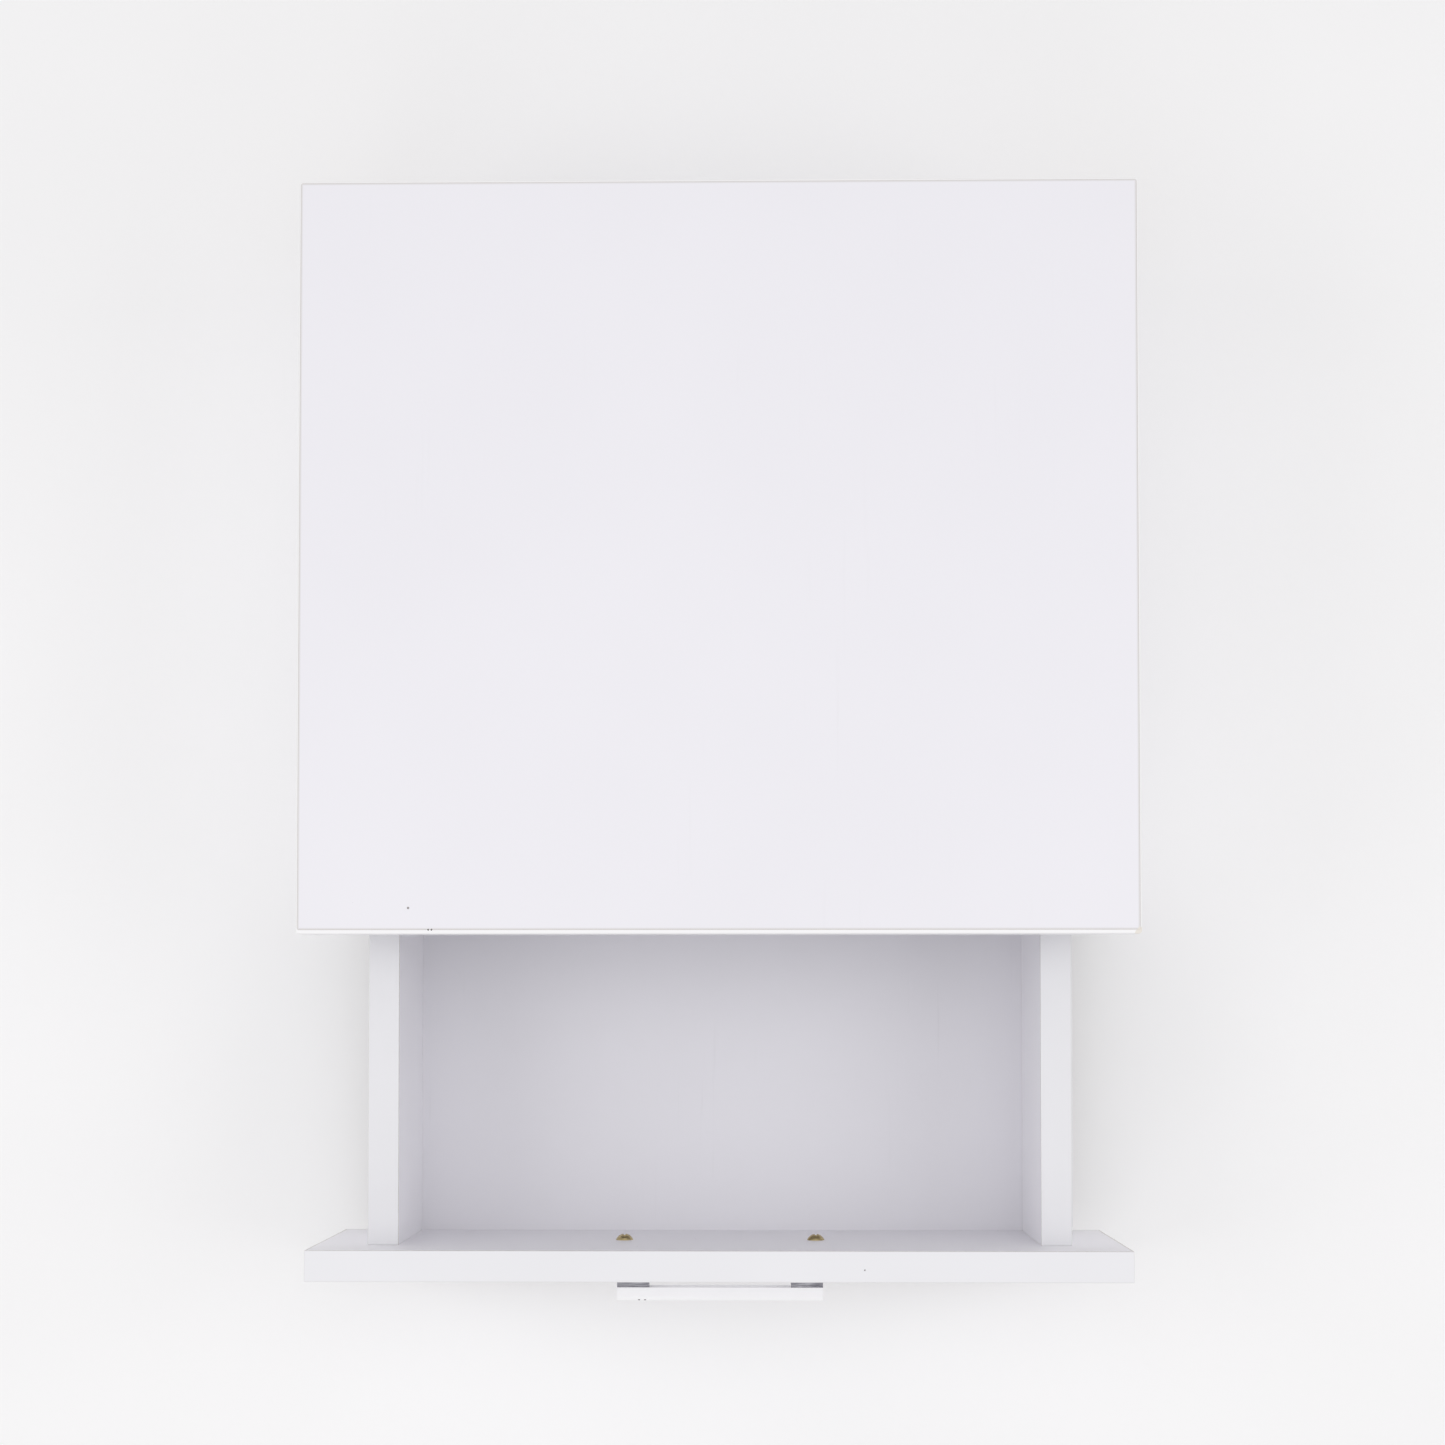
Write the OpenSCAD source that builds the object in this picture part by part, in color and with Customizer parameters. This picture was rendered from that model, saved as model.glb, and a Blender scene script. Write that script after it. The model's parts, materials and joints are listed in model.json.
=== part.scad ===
// Hanging wall cabinet with one drawer on roller runners.
// Frame: +X to the right seen from the front, +Z up, the front faces -Y.
// The origin is the centre of the back face, which lies against the wall.

/* [Cabinet] */
// Width over the side panels
cab_w = 400; // [360:10:600]
// Depth from the wall to the front edge of the top
cab_d = 360; // [355:5:400]
// Height over the top and bottom panels
cab_h = 150; // [150:1:170]
// Thickness of every board except the drawer bottom
board_t = 15; // [15:0.5:16]
// Thickness of the edge banding
band_t = 0.8; // [0.4:0.1:1.5]
// Thickness of the strip along the front edge of the top
front_band_t = 2; // [0.4:0.1:3]

/* [Drawer] */
// How far the drawer is drawn out
opening = 166; // [0:1:220]
// Gap above and below the drawer front
front_gap = 2.5; // [1.5:0.5:3]
// Gap at each end of the drawer front
front_inset = 1.5; // [0.5:0.5:3]
// Height of the drawer sides above the drawer bottom
box_h = 82; // [78:1:84]
// Length of the drawer box behind its front
box_len = 305; // [305:1:312]
// Thickness of the drawer bottom
bottom_t = 3; // [3:0.5:4]

/* [Runners] */
// Length of a runner
runner_len = 300; // [300:10:310]
// Gap between a side panel and the drawer box, which the runners fill
runner_gap = 12.5; // [12.5:0.1:13]

/* [Handle] */
// Distance between the two handle screws
handle_pitch = 96; // [64:32:128]
// How far the bar runs past each screw
handle_overhang = 3.5; // [3:0.5:6]
// Gap between the drawer front and the bar
handle_gap = 8.3; // [6:0.1:25]

/* [Hidden] */
$fn = 48;
left = -1;
right = 1;
sides = [left, right];
fit = 0.05;                             // clearance around a shank in its hole
eps = 0.5;                              // how far a cut runs past a face

// Carcass
half_h = cab_h / 2;
bay_h = half_h - board_t;               // half the height between top and bottom panels
bay_w = cab_w / 2 - board_t;            // half the width between the side panels
side_mid_x = cab_w / 2 - board_t / 2;   // middle of a side panel's thickness
corner_r = 1.6;                         // upright corners of the top and bottom panels
bumper_gap = 1.5;                       // gap between the closed front and the side edges
bumper_inset = 15;
front_back_y = -(cab_d - board_t);      // back face of the closed drawer front
face_y = -cab_d;                        // outer face of the closed drawer front
side_front_y = front_back_y + bumper_gap;

// Drawer box
box_w = bay_w - runner_gap;             // half the width over the drawer sides
box_in = box_w - board_t;               // half the width inside the drawer
front_w = cab_w / 2 - front_inset;
front_h = bay_h - front_gap;            // half the height of the drawer front
box_clearance = 4.5;                    // gap under the drawer box
bottom_under_z = -bay_h + box_clearance; // lower face of the drawer bottom
bottom_z = bottom_under_z + bottom_t;   // upper face of the drawer bottom
side_top_z = bottom_z + box_h;
box_rear_y = front_back_y + box_len;
box_back_y = box_rear_y - board_t;      // inner face of the drawer back

// Runners: u runs from the side panel to the drawer, y from the front end of the closed runner
runner_y = side_front_y + 1.5;
sheet_t = 1;
bend_r = 1.6;                           // outer radius of a rolled corner
foot_w = 12;                            // how far the drawer runner reaches under the drawer
upright_h = 18;                         // height of the drawer runner
flange_u = 3;                           // outer edge of the drawer runner's flange
lip_h = 3;
foot_z = bottom_under_z - sheet_t;      // underside of the drawer runner
flange_top_z = foot_z + upright_h;
flange_under_z = flange_top_z - sheet_t;
roller_r = 6.8;
roller_u = [5, 10];
roller_hub_r = 3.4;
roller_hub = 0.3;                       // how far the hub stands out of the roller
roll_gap = 0.02;                        // clearance between a roller and what it rolls on
front_roller_y = 12;
rear_roller_y = runner_len - 12;
front_roller_z = flange_under_z - roll_gap - roller_r;
track_z = front_roller_z - roller_r - 0.4;
rear_roller_z = track_z + roll_gap + roller_r;
cabinet_runner_z0 = track_z - sheet_t;
cabinet_runner_z1 = flange_top_z + 0.6 + sheet_t;
cabinet_runner_w = 10.4;                // how far the cabinet runner reaches towards the drawer
runner_mid_z = (cabinet_runner_z0 + cabinet_runner_z1) / 2;
axle_r = 2;
axle_head_r = 3;
axle_head_t = 0.6;
cabinet_screw_ys = [35, 163, 265];
drawer_screw_ys = [60, 150, 240];
drawer_screw_u = 18;

// Screws: [shank radius, head radius, length]
hanger_screw = [1.5, 3, 12];
runner_screw = [2, 3.6, 12];
bottom_screw = [1.5, 2.9, 15];
back_screw = [2, 3.8, 45];
foot_screw = [1.75, 3.4, 12];
foot_head_h = 1.6;
confirmat = [2.5, 3.5, 5, 48];          // thread radius, neck radius, head radius, length

// Cams and dowels
cam_r = 7.5;
cam_depth = 12.5;
cam_setback = 24;                       // from the board's edge to the cam's centre
cam_bolt_r = 2.5;
cam_bolt_len = 11;                      // how deep the bolt goes into the mating board
cam_neck_r = 3.5;
carcass_cam_ys = [-60, -280];
carcass_dowel_ys = [-95, -245];
back_cam_zs = [-30, 30];
drawer_cam_zs = [side_top_z - 11, bottom_z + 30];
dowel_r = 4;
dowel_len = 30;
dowel_in_face = 11.5;                   // the part of a dowel inside the face of a board
drawer_dowel_z = (drawer_cam_zs[0] + drawer_cam_zs[1]) / 2;

// Wall hangers
hanger_x = bay_w - 45;
hanger_z = 27;
hanger_len = 54;
hanger_w = 18;
hanger_t = 1.5;
hanger_screw_z = hanger_len / 2 - 6;    // from the plate's middle
entry_r = 5;
entry_z = hanger_z - 5;
slot_r = 2.5;
slot_z = hanger_z + 11;
pocket_depth = 9;
security_z = -35;
security_r = 2.75;

// Handle
bar_t = 6.7;                            // front to back
bar_h = 11;                             // top to bottom
bar_round = 2.5;
bar_half = handle_pitch / 2 + handle_overhang;
bar_y = face_y - handle_gap;            // inner face of the bar
foot_len = 16;
foot_h = 9;
handle_screw_r = 1.95;
handle_head_r = 4.4;
handle_head_h = 3;

white = [0.93, 0.93, 0.95];
bright = [0.96, 0.96, 0.97];
steel = [0.72, 0.73, 0.75];
zinc = [0.66, 0.67, 0.69];
coated = [0.94, 0.94, 0.95];
nylon = [0.88, 0.88, 0.86];
clear_pad = [0.90, 0.92, 0.94];
brass = [0.62, 0.55, 0.40];
beech = [0.80, 0.66, 0.46];

// ---------- helpers ----------

// Puts children in the frame at o whose x and z axes are ax and az.
module axes(o, ax, az) {
    ay = cross(az, ax);
    multmatrix([
        [ax.x, ay.x, az.x, o.x],
        [ax.y, ay.y, az.y, o.y],
        [ax.z, ay.z, az.z, o.z],
        [0, 0, 0, 1]
    ]) children();
}

// A box between two corners.
module block(lo, hi) {
    translate(lo) cube(hi - lo);
}

// Draws children as they are on the right, or mirrored on the left.
module side(s) {
    if (s == right) children();
    else mirror([1, 0, 0]) children();
}

// Draws children moved with the drawer.
module drawn() {
    translate([0, -opening, 0]) children();
}

// A rod of radius r from x0 to x1 along X.
module rod(r, x0, x1) {
    translate([x0, 0, 0]) rotate([0, 90, 0]) cylinder(r = r, h = x1 - x0);
}

// Four banding strips inside the rectangle of half sizes a and b, from z0 to z1.
module band_ring(a, b, z0, z1) {
    for (turn = [0, 180]) rotate([0, 0, turn]) {
        block([-a, b - band_t, z0], [a, b, z1]);
        block([a - band_t, -b + band_t, z0], [a, b - band_t, z1]);
    }
}

// Two crossed slots cut down from z = 0, sized for a screw head of radius r.
module cross_recess(r) {
    len = 1.25 * r;
    width = 0.24 * r;
    for (turn = [0, 90]) rotate([0, 0, turn])
        block([-len / 2, -width / 2, -0.3 * r], [len / 2, width / 2, eps]);
}

// A countersunk screw pointing down -Z, its head flush with z = 0.
module flush_screw(kind) {
    difference() {
        flush_shape(kind[0], kind[1], kind[2]);
        cross_recess(kind[1]);
    }
}

module flush_hole(kind) {
    flush_shape(kind[0] + fit, kind[1] + fit, kind[2] + fit);
    cylinder(r = kind[1] + fit, h = eps);
}

module flush_shape(r, head_r, length) {
    cone = head_r - r;
    translate([0, 0, -cone]) cylinder(r1 = r, r2 = head_r, h = cone);
    translate([0, 0, -length]) cylinder(r = r, h = length - cone);
}

// ---------- knock-down fittings ----------
// In a cam's frame z is the outward normal of the board's face, and x points along
// the bolt to the joint. The origin is the centre of the cam on that face.

module cam_lock() {
    difference() {
        translate([0, 0, 0.2 - cam_depth]) cylinder(r = cam_r - fit, h = cam_depth - 0.3);
        translate([0, 0, -board_t / 2]) rod(cam_neck_r + 0.7, -5, cam_r + 1);
        translate([0, 0, -0.1]) cross_recess(6);
    }
}

module cam_bolt() {
    translate([0, 0, -board_t / 2]) {
        rod(cam_neck_r, -2, 1);
        rod(cam_bolt_r - 0.5, 1, 4);
        rod(cam_neck_r - 0.5, 4, cam_setback);
        rod(cam_bolt_r, cam_setback, cam_setback + cam_bolt_len);
    }
}

module cam_cap() {
    difference() {
        cylinder(r = cam_r + 1, h = 1);
        translate([0, 0, 0.7]) cylinder(r = cam_r - 1.5, h = 1);
    }
}

// The holes in the board that holds the cam.
module cam_bore() {
    translate([0, 0, -cam_depth]) cylinder(r = cam_r, h = cam_depth + eps);
    translate([0, 0, -board_t / 2]) rod(cam_neck_r, 0, cam_setback + eps);
}

// The hole in the board that the bolt is screwed into.
module cam_bolt_hole() {
    translate([0, 0, -board_t / 2])
        rod(cam_bolt_r + fit, cam_setback - eps, cam_setback + cam_bolt_len + fit);
}

// Cam frames: [origin, bolt direction, face normal].
top_cams = [
    for (s = sides, y = carcass_cam_ys)
        [[s * bay_w, y, bay_h - cam_setback], [0, 0, 1], [-s, 0, 0]]
];
back_cams = [
    for (s = sides, z = back_cam_zs)
        [[s * (bay_w - cam_setback), -board_t, z], [s, 0, 0], [0, -1, 0]]
];
drawer_cams = [
    for (s = sides, z = drawer_cam_zs)
        [[s * box_w, front_back_y + cam_setback, z], [0, -1, 0], [s, 0, 0]]
];

module at_cams(frames) {
    for (f = frames) axes(f[0], f[1], f[2]) children();
}

// A dowel lies along X across a joint at x = 0; its short end is in the face of a board.
module dowel() {
    rod(dowel_r - fit, dowel_in_face - dowel_len, dowel_in_face);
}

module dowel_hole() {
    rod(dowel_r, dowel_in_face - dowel_len - fit, dowel_in_face + fit);
}

// Carcass dowels stand in both ends of the side panels.
module at_carcass_dowels() {
    for (s = sides, e = [-1, 1], y = carcass_dowel_ys)
        axes([s * side_mid_x, y, e * bay_h], [0, 0, e], [0, 1, 0]) children();
}

// Confirmat screws come up through the bottom panel, into the sides and the back.
module at_confirmats() {
    for (s = sides) {
        for (y = carcass_cam_ys) at_underside(s * side_mid_x, y, -half_h) children();
        at_underside(s * 100, -board_t / 2, -half_h) children();
    }
}

// Turns children upside down at a point on an underside.
module at_underside(x, y, z) {
    translate([x, y, z]) mirror([0, 0, 1]) children();
}

module confirmat_shape(grow = 0) {
    thread_r = confirmat[0] + grow;
    neck_r = confirmat[1] + grow;
    head_r = confirmat[2] + grow;
    length = confirmat[3] + grow;
    head_h = 3;
    translate([0, 0, -head_h]) cylinder(r1 = neck_r, r2 = head_r, h = head_h);
    translate([0, 0, -board_t]) cylinder(r = neck_r, h = board_t - head_h);
    translate([0, 0, -length]) cylinder(r = thread_r, h = length - board_t);
}

module confirmat_hole() {
    confirmat_shape(fit);
    cylinder(r = confirmat[2] + fit, h = eps);
}

// ---------- carcass ----------

// The outline of a panel that reaches from the wall to front_y, less its borders.
module panel_outline(front_y, border, front_border) {
    r = corner_r - border;
    depth = -front_y - border - front_border;
    translate([0, -border - depth / 2]) offset(r)
        square([cab_w - 2 * corner_r, depth - 2 * r], center = true);
}

module carcass_board(front_y, front_t, z0, z1) {
    translate([0, 0, z0]) linear_extrude(z1 - z0) panel_outline(front_y, band_t, front_t);
}

module top_panel() {
    color(white) difference() {
        carcass_board(-cab_d, front_band_t, bay_h, half_h);
        at_cams(top_cams) cam_bolt_hole();
        at_carcass_dowels() dowel_hole();
    }
}

module bottom_panel() {
    color(white) difference() {
        carcass_board(side_front_y, band_t, -half_h, -bay_h);
        at_carcass_dowels() dowel_hole();
        at_confirmats() confirmat_hole();
    }
}

// One strip glued round all four edges of a panel.
module carcass_edge_band(front_y, front_t, z0, z1) {
    color(bright) translate([0, 0, z0]) linear_extrude(z1 - z0) difference() {
        panel_outline(front_y, 0, 0);
        panel_outline(front_y, band_t, front_t);
    }
}

module top_edge_band() {
    carcass_edge_band(-cab_d, front_band_t, bay_h, half_h);
}

module bottom_edge_band() {
    carcass_edge_band(side_front_y, band_t, -half_h, -bay_h);
}

module side_panel(s) {
    color(white) difference() {
        side(s) block([bay_w, side_front_y + band_t, -bay_h], [cab_w / 2, 0, bay_h]);
        at_cams(top_cams) cam_bore();
        at_cams(back_cams) cam_bolt_hole();
        at_carcass_dowels() dowel_hole();
        at_confirmats() confirmat_hole();
        at_cabinet_screws(s) flush_hole(runner_screw);
    }
}

// Strips on the front edges of the side panels.
module side_edge_bands() {
    color(bright) for (s = sides) side(s)
        block([bay_w, side_front_y, -bay_h], [cab_w / 2, side_front_y + band_t, bay_h]);
}

module back_panel() {
    color(white) difference() {
        block([-bay_w, -board_t, -bay_h], [bay_w, 0, bay_h]);
        at_cams(back_cams) cam_bore();
        at_confirmats() confirmat_hole();
        at_hangers() {
            cut_back(hanger_t) hanger_outline(0.15);
            cut_back(pocket_depth) keyhole(entry_r + 1, entry_r + 1);
            cut_back(board_t + eps) translate([0, security_z]) circle(security_r);
        }
        at_hanger_screws() flush_hole(hanger_screw);
    }
}

// Soft dots on the front edges of the side panels.
module bumper_pads() {
    color(clear_pad) for (s = sides, e = [-1, 1])
        translate([s * side_mid_x, side_front_y, e * (bay_h - bumper_inset)]) rotate([90, 0, 0]) {
            cylinder(r = 4, h = 0.7);
            translate([0, 0, 0.7]) cylinder(r1 = 3.6, r2 = 2.4, h = bumper_gap - 0.9);
        }
}

// ---------- wall hangers ----------
// A hanger's outlines are drawn with X across and Y up, and cut into the back face.

module at_hangers() {
    for (s = sides) translate([s * hanger_x, 0, 0]) children();
}

module cut_back(depth) {
    translate([0, eps, 0]) rotate([90, 0, 0]) linear_extrude(depth + eps) children();
}

module hanger_outline(grow = 0) {
    r = hanger_w / 2 + grow;
    straight = hanger_len / 2 - hanger_w / 2;
    for (e = [-1, 1]) translate([0, hanger_z + e * straight]) circle(r);
    translate([-r, hanger_z - straight]) square([2 * r, 2 * straight]);
}

module keyhole(entry, slot) {
    translate([0, entry_z]) circle(entry);
    translate([-slot, entry_z]) square([2 * slot, slot_z - entry_z]);
    translate([0, slot_z]) circle(slot);
}

module at_hanger_screws() {
    for (s = sides, e = [-1, 1])
        translate([s * hanger_x, 0, hanger_z + e * hanger_screw_z]) rotate([-90, 0, 0]) children();
}

module hanger_plate(s) {
    color(steel) difference() {
        translate([s * hanger_x, 0, 0]) rotate([90, 0, 0]) linear_extrude(hanger_t) difference() {
            hanger_outline();
            keyhole(entry_r, slot_r);
        }
        at_hanger_screws() flush_hole(hanger_screw);
    }
}

module hanger_screws() {
    color(zinc) at_hanger_screws() flush_screw(hanger_screw);
}

// ---------- carcass fittings ----------

module carcass_cam_locks() {
    color(zinc) at_cams(concat(top_cams, back_cams)) cam_lock();
}

module carcass_cam_bolts() {
    color(zinc) at_cams(concat(top_cams, back_cams)) cam_bolt();
}

module carcass_cam_caps() {
    color(bright) at_cams(concat(top_cams, back_cams)) cam_cap();
}

module carcass_dowels() {
    color(beech) at_carcass_dowels() dowel();
}

module confirmat_screws() {
    color(zinc) at_confirmats() difference() {
        confirmat_shape();
        translate([0, 0, -2.5]) cylinder(r = 2.3, h = 2.5 + eps, $fn = 6);
    }
}

// ---------- runners ----------
// A section is drawn with u along X and height along Y, then run along the runner's length.

module runner_run(s) {
    side(s) translate([bay_w, runner_y + runner_len, 0]) rotate([90, 0, 0]) mirror([1, 0, 0])
        linear_extrude(runner_len) children();
}

// A slab from u = 0 to u1 between two heights, with rounded corners of radius r at u = 0.
module slab(u1, z0, z1, r) {
    for (z = [z0 + r, z1 - r]) translate([r, z]) circle(r);
    translate([0, z0 + r]) square([u1, z1 - z0 - 2 * r]);
    translate([r, z0]) square([u1 - r, z1 - z0]);
}

// These frames lie on the cabinet runner's web: z points out of it, towards the drawer.
module at_cabinet_screws(s) {
    for (y = cabinet_screw_ys)
        axes([s * (bay_w - sheet_t), runner_y + y, runner_mid_z], [0, s, 0], [-s, 0, 0]) children();
}

// Frames at an axle: x runs from the side panel's face towards the drawer.
module at_front_axle(s) {
    axes([s * bay_w, runner_y + front_roller_y, front_roller_z], [-s, 0, 0], [0, 0, 1]) children();
}

module at_rear_axle(s) {
    axes([s * bay_w, runner_y + rear_roller_y, rear_roller_z], [-s, 0, 0], [0, 0, 1]) children();
}

// A channel screwed to the side panel. The rear roller runs inside it.
module cabinet_runner(s) {
    z0 = cabinet_runner_z0;
    z1 = cabinet_runner_z1;
    color(coated) difference() {
        runner_run(s) difference() {
            slab(cabinet_runner_w, z0, z1, bend_r);
            translate([sheet_t, 0])
                slab(cabinet_runner_w, z0 + sheet_t, z1 - sheet_t, bend_r - sheet_t);
        }
        at_cabinet_screws(s) flush_hole(runner_screw);
        at_front_axle(s) rod(axle_r + fit, -eps, sheet_t + eps);
    }
}

module cabinet_runner_screws() {
    color(zinc) for (s = sides) at_cabinet_screws(s) flush_screw(runner_screw);
}

// A rolled strip that wraps the drawer's lower corner. Its flange rests on the front roller.
module drawer_runner(s) {
    upright_u = runner_gap - sheet_t;
    color(coated) drawn() difference() {
        runner_run(s) {
            translate([upright_u, foot_z]) square([foot_w, sheet_t]);
            translate([upright_u, foot_z]) square([sheet_t, upright_h]);
            translate([flange_u, flange_under_z]) square([runner_gap - flange_u, sheet_t]);
            translate([flange_u, flange_top_z - lip_h]) square([sheet_t, lip_h]);
        }
        at_foot_screws(s) cylinder(r = foot_screw[0] + fit, h = 3 * sheet_t, center = true);
        at_rear_axle(s) rod(axle_r + fit, upright_u - eps, runner_gap + eps);
    }
}

// Pan-head screws up through the drawer runner's foot.
module at_foot_screws(s) {
    for (y = drawer_screw_ys) at_underside(s * (bay_w - drawer_screw_u), runner_y + y, foot_z) children();
}

module foot_screw_hole() {
    translate([0, 0, -foot_screw[2] - fit]) cylinder(r = foot_screw[0] + fit, h = foot_screw[2] + fit);
}

module drawer_runner_screws() {
    color(zinc) drawn() for (s = sides) at_foot_screws(s) difference() {
        union() {
            cylinder(r = foot_screw[1], h = foot_head_h);
            translate([0, 0, -foot_screw[2]]) cylinder(r = foot_screw[0], h = foot_screw[2]);
        }
        translate([0, 0, foot_head_h]) cross_recess(foot_screw[1]);
    }
}

// A roller on the X axis, between the two ends of roller_u.
module roller() {
    difference() {
        union() {
            rod(roller_r, roller_u[0], roller_u[1]);
            rod(roller_hub_r, roller_u[0] - roller_hub, roller_u[1] + roller_hub);
        }
        rod(axle_r + fit, 0, runner_gap);
    }
}

module front_roller(s) {
    color(nylon) at_front_axle(s) roller();
}

module rear_roller(s) {
    color(nylon) drawn() at_rear_axle(s) roller();
}

// Rivets: the front ones are held in the cabinet runners, the rear ones in the drawer runners.
module front_axles() {
    head_u = roller_u[1] + roller_hub + fit;
    color(zinc) for (s = sides) at_front_axle(s) {
        rod(axle_r, 0.1, head_u);
        rod(axle_head_r, head_u, head_u + axle_head_t);
    }
}

module rear_axles() {
    head_u = roller_u[0] - roller_hub - fit;
    color(zinc) drawn() for (s = sides) at_rear_axle(s) {
        rod(axle_r, head_u, runner_gap - 0.1);
        rod(axle_head_r, head_u - axle_head_t, head_u);
    }
}

// ---------- drawer ----------

module drawer_front() {
    lo = [-front_w + band_t, face_y, -front_h + band_t];
    hi = [front_w - band_t, front_back_y, front_h - band_t];
    color(white) drawn() difference() {
        block(lo, hi);
        at_cams(drawer_cams) cam_bolt_hole();
        at_drawer_dowels() dowel_hole();
        at_handle_screws() rod(handle_screw_r + 0.3, -eps, board_t + eps);
    }
}

module drawer_front_edge_bands() {
    color(bright) drawn() translate([0, front_back_y, 0]) rotate([90, 0, 0])
        band_ring(front_w, front_h, 0, board_t);
}

module drawer_side(s) {
    color(white) drawn() difference() {
        side(s) block([box_in, front_back_y, bottom_z], [box_w, box_rear_y, side_top_z - band_t]);
        at_cams(drawer_cams) cam_bore();
        at_drawer_dowels() dowel_hole();
        at_foot_screws(s) foot_screw_hole();
        at_back_screws() flush_hole(back_screw);
        at_bottom_screws() flush_hole(bottom_screw);
    }
}

module drawer_back() {
    color(white) drawn() difference() {
        block([-box_in, box_back_y, bottom_z], [box_in, box_rear_y, side_top_z - band_t]);
        at_back_screws() flush_hole(back_screw);
        at_bottom_screws() flush_hole(bottom_screw);
    }
}

// Strips on the upper edges of the two sides and the back.
module drawer_box_edge_bands() {
    z = side_top_z - band_t;
    color(bright) drawn() {
        for (s = sides) side(s) block([box_in, front_back_y, z], [box_w, box_rear_y, side_top_z]);
        block([-box_in, box_back_y, z], [box_in, box_rear_y, side_top_z]);
    }
}

module drawer_bottom() {
    color(white) drawn() difference() {
        block([-box_w, front_back_y, bottom_under_z], [box_w, box_rear_y, bottom_z]);
        at_bottom_screws() flush_hole(bottom_screw);
        for (s = sides) at_foot_screws(s) foot_screw_hole();
    }
}

// Screws up through the drawer bottom, four into each side and two into the back.
module at_bottom_screws() {
    for (s = sides) {
        for (y = [45, 120, 195, 270])
            at_underside(s * (box_w - board_t / 2), front_back_y + y, bottom_under_z) children();
        at_underside(s * 80, box_rear_y - board_t / 2, bottom_under_z) children();
    }
}

module drawer_bottom_screws() {
    color(zinc) drawn() at_bottom_screws() flush_screw(bottom_screw);
}

module drawer_cam_locks() {
    color(zinc) drawn() at_cams(drawer_cams) cam_lock();
}

module drawer_cam_bolts() {
    color(zinc) drawn() at_cams(drawer_cams) cam_bolt();
}

module at_drawer_dowels() {
    for (s = sides)
        axes([s * (box_w - board_t / 2), front_back_y, drawer_dowel_z], [0, -1, 0], [0, 0, 1])
            children();
}

module drawer_dowels() {
    color(beech) drawn() at_drawer_dowels() dowel();
}

// Screws through the drawer sides into the ends of the drawer back.
module at_back_screws() {
    for (s = sides, z = drawer_cam_zs)
        axes([s * box_w, box_rear_y - board_t / 2, z], [0, s, 0], [s, 0, 0]) children();
}

module drawer_back_screws() {
    color(zinc) drawn() at_back_screws() flush_screw(back_screw);
}

// ---------- handle ----------

// These frames lie on the inside of the drawer front, with x pointing out through it.
module at_handle_screws() {
    for (s = sides)
        axes([s * handle_pitch / 2, front_back_y, 0], [0, -1, 0], [0, 0, 1]) children();
}

// The bar's section, with its two outer edges rounded: x is outwards, y is up.
module bar_section() {
    straight = bar_h / 2 - bar_round;
    for (e = [-1, 1]) translate([bar_t - bar_round, e * straight]) circle(bar_round);
    translate([0, -bar_h / 2]) square([bar_t - bar_round, bar_h]);
    translate([0, -straight]) square([bar_t, 2 * straight]);
}

module handle_bar() {
    color(bright) drawn() difference() {
        translate([-bar_half, bar_y, 0]) rotate([90, 0, 90]) mirror([1, 0, 0])
            linear_extrude(2 * bar_half) bar_section();
        at_handle_screws() rod(handle_screw_r + fit, 0, board_t + handle_gap + 5);
    }
}

module handle_foot(s) {
    color(zinc) drawn() difference() {
        side(s) block([bar_half - foot_len, bar_y, -foot_h / 2], [bar_half, face_y, foot_h / 2]);
        at_handle_screws() rod(handle_screw_r + 0.3, board_t - eps, board_t + handle_gap + eps);
    }
}

// Machine screws with low domed heads inside the drawer.
module handle_screws() {
    dome = (pow(handle_head_r, 2) + pow(handle_head_h, 2)) / (2 * handle_head_h);
    color(brass) drawn() at_handle_screws() difference() {
        union() {
            rod(handle_screw_r, 0, board_t + handle_gap + 4);
            intersection() {
                translate([dome - handle_head_h, 0, 0]) sphere(dome);
                rod(handle_head_r, -handle_head_h - 1, 0);
            }
        }
        translate([-handle_head_h, 0, 0]) rotate([0, -90, 0]) cross_recess(handle_head_r);
    }
}

// ---------- one line per node ----------

top_panel();
top_edge_band();
bottom_panel();
bottom_edge_band();
side_panel(left);  // left_side_panel
side_panel(right);  // right_side_panel
side_edge_bands();
back_panel();
hanger_plate(left);  // left_hanger_plate
hanger_plate(right);  // right_hanger_plate
hanger_screws();
carcass_cam_locks();
carcass_cam_bolts();
carcass_cam_caps();
carcass_dowels();
confirmat_screws();
bumper_pads();
cabinet_runner(left);  // left_cabinet_runner
cabinet_runner(right);  // right_cabinet_runner
cabinet_runner_screws();
front_roller(left);  // left_front_roller
front_roller(right);  // right_front_roller
front_axles();
drawer_runner(left);  // left_drawer_runner
drawer_runner(right);  // right_drawer_runner
drawer_runner_screws();
rear_roller(left);  // left_rear_roller
rear_roller(right);  // right_rear_roller
rear_axles();
drawer_front();
drawer_front_edge_bands();
drawer_side(left);  // drawer_left_side
drawer_side(right);  // drawer_right_side
drawer_back();
drawer_box_edge_bands();
drawer_bottom();
drawer_bottom_screws();
drawer_cam_locks();
drawer_cam_bolts();
drawer_dowels();
drawer_back_screws();
handle_bar();
handle_foot(left);  // left_handle_foot
handle_foot(right);  // right_handle_foot
handle_screws();
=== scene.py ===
# %% [markdown]
# # A hanging wall cabinet with one drawer
# This lesson gives looks to a small white cabinet whose boards, runners and screws already exist as
# measured solids. Those solids are loaded first and stay where they are. The lesson adds what a solid
# lacks: softened edges, finishes, light and a camera.

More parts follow.
